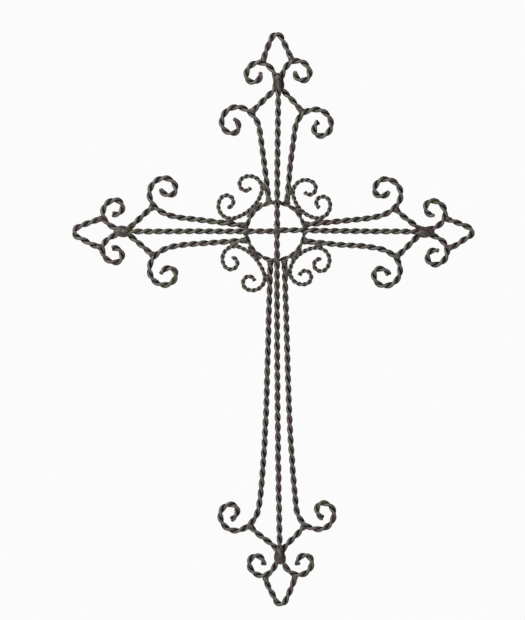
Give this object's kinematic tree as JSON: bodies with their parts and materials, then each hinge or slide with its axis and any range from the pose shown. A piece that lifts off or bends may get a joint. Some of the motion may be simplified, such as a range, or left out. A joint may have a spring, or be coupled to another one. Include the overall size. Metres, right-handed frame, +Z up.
{
  "type": "hanging wall cross",
  "caption": "Hanging wall cross of twisted iron rod, a ring at the crossing, scrolled side rods and a fleur-de-lis at the end of each arm",
  "frame": {"origin": "inside the peak of the top point, where a nail or hook bears", "axes": "+X to the right of someone facing the cross, +Z up, -Y out of its face"},
  "size_m": [0.5365, 0.0146, 0.7653],
  "materials": {
    "iron": "dark patina, worn to grey on the crests"
  },
  "bodies": {
    "root": {"ring": "iron", "upright": "iron", "left_cross_rod": "iron", "right_cross_rod": "iron", "right_upper_scroll": "iron", "right_lower_scroll": "iron", "top_left_scroll": "iron", "top_right_scroll": "iron", "left_lower_scroll": "iron", "left_upper_scroll": "iron", "bottom_right_scroll": "iron", "bottom_left_scroll": "iron", "right_upper_fleur": "iron", "right_lower_fleur": "iron", "top_left_fleur": "iron", "top_right_fleur": "iron", "left_lower_fleur": "iron", "left_upper_fleur": "iron", "bottom_right_fleur": "iron", "bottom_left_fleur": "iron", "right_point": "iron", "top_point": "iron", "left_point": "iron", "bottom_point": "iron", "upper_right_c_scroll": "iron", "upper_left_c_scroll": "iron", "lower_left_c_scroll": "iron", "lower_right_c_scroll": "iron"}
  },
  "joints": []
}
